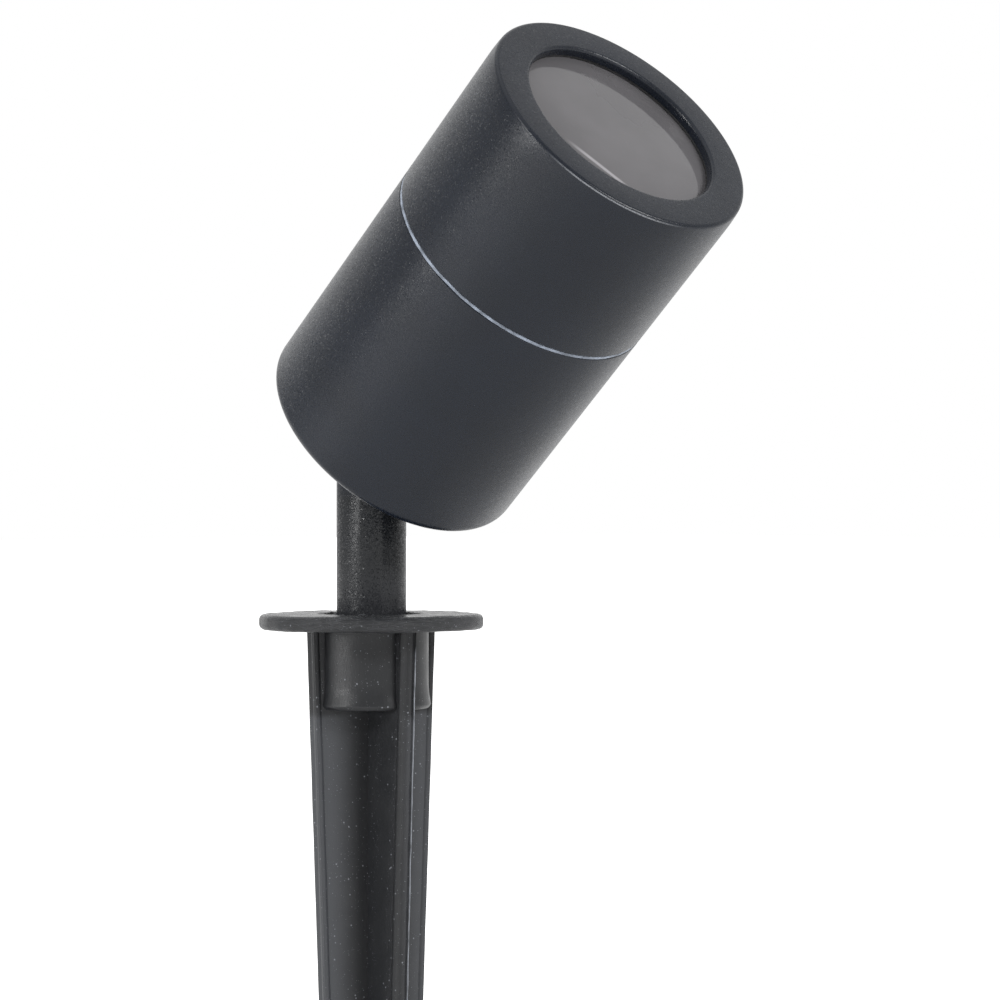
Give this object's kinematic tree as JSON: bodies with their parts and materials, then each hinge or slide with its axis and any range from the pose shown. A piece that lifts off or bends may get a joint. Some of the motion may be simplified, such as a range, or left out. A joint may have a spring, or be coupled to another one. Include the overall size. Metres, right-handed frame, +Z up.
{
  "type": "led spotlight",
  "caption": "Outdoor spike spotlight: a round head with a screw-on bezel and set-back glass tilts on a post over a ground disc and a cross-bladed spike.",
  "frame": {"origin": "on the post's axis at the underside of the ground disc, which is the ground line", "axes": "+Z up along the post, the head aims towards -Y, the tilt axis is along X"},
  "size_m": [0.06, 0.1218, 0.2871],
  "materials": {
    "powder_coat": "fine-textured matt powder coat, charcoal",
    "spike_plastic": "moulded, lightly grained, charcoal",
    "black_plastic": "moulded satin",
    "black_rubber": "matt",
    "pale_silicone": "satin, pale blue-grey",
    "clear_glass": "clear, polished",
    "zinc_steel": "zinc plated",
    "stainless_steel": "stainless",
    "nylon": "natural nylon",
    "brass": "plain",
    "holder_ceramic": "unglazed",
    "white_plastic": "moulded",
    "lamp_aluminium": "plain",
    "lamp_opal": "opal diffuser",
    "led_yellow": "phosphor",
    "circuit_board": "lacquered",
    "brown_sleeve": "silicone sleeve",
    "blue_sleeve": "silicone sleeve",
    "green_sleeve": "silicone sleeve"
  },
  "bodies": {
    "spike": {"ground_spike": "spike_plastic"},
    "post": {"socket_adaptor": "black_plastic", "adaptor_bolt": "zinc_steel", "adaptor_washer": "zinc_steel", "stem": "powder_coat", "tilt_screw": "stainless_steel", "tilt_nut": "stainless_steel", "tilt_washers": "nylon"},
    "head": {"tilt_lug": "powder_coat", "lug_seal": "black_rubber", "lug_nut": "zinc_steel", "rear_housing": "powder_coat", "seam_gasket": "pale_silicone", "cord_gland": "black_plastic", "gland_seal": "black_rubber", "gland_cap": "black_plastic", "gland_locknut": "zinc_steel", "lamp_bracket": "zinc_steel", "bracket_screws": "zinc_steel", "lampholder": "holder_ceramic", "lampholder_contacts": "brass", "lampholder_screws": "zinc_steel", "terminal_block": "white_plastic", "terminal_screws": "brass", "earth_screw": "brass", "live_lead": "brown_sleeve", "neutral_lead": "blue_sleeve", "earth_lead": "green_sleeve"},
    "lens": {"lens_glass": "clear_glass", "lens_gasket": "black_rubber"},
    "bezel": {"front_bezel": "powder_coat"},
    "lamp": {"lamp_shell": "lamp_aluminium", "lamp_diffuser": "lamp_opal", "lamp_base": "white_plastic", "lamp_pins": "zinc_steel", "lamp_board": "lamp_aluminium", "lamp_leds": "led_yellow", "lamp_driver": "circuit_board"}
  },
  "joints": [
    {"name": "post_swivel", "type": "hinge", "parent": "spike", "child": "post", "pos_m": [0, 0, 0], "axis": [0, 0, 1], "range_deg": [-175, 175]},
    {"name": "head_tilt", "type": "hinge", "parent": "post", "child": "head", "pos_m": [0, 0, 0.0369], "axis": [1, 0, 0], "range_deg": [-48.85, 41.15]},
    {"name": "lens_travel", "type": "slide", "parent": "head", "child": "lens", "axis": [0, -0.753, 0.658], "range_m": [0, 0.006]},
    {"name": "bezel_turn", "type": "hinge", "parent": "lens", "child": "bezel", "pos_m": [0, 0, 0.0369], "axis": [0, -0.753, 0.658], "range_deg": [0, 1080]},
    {"name": "lamp_twist", "type": "hinge", "parent": "head", "child": "lamp", "pos_m": [0, 0, 0.0369], "axis": [0, -0.753, 0.658], "range_deg": [0, 20]}
  ],
  "couplings": [
    {"joint": "lens_travel", "follows": "bezel_turn", "m_per_rad": 0.0003183}
  ]
}
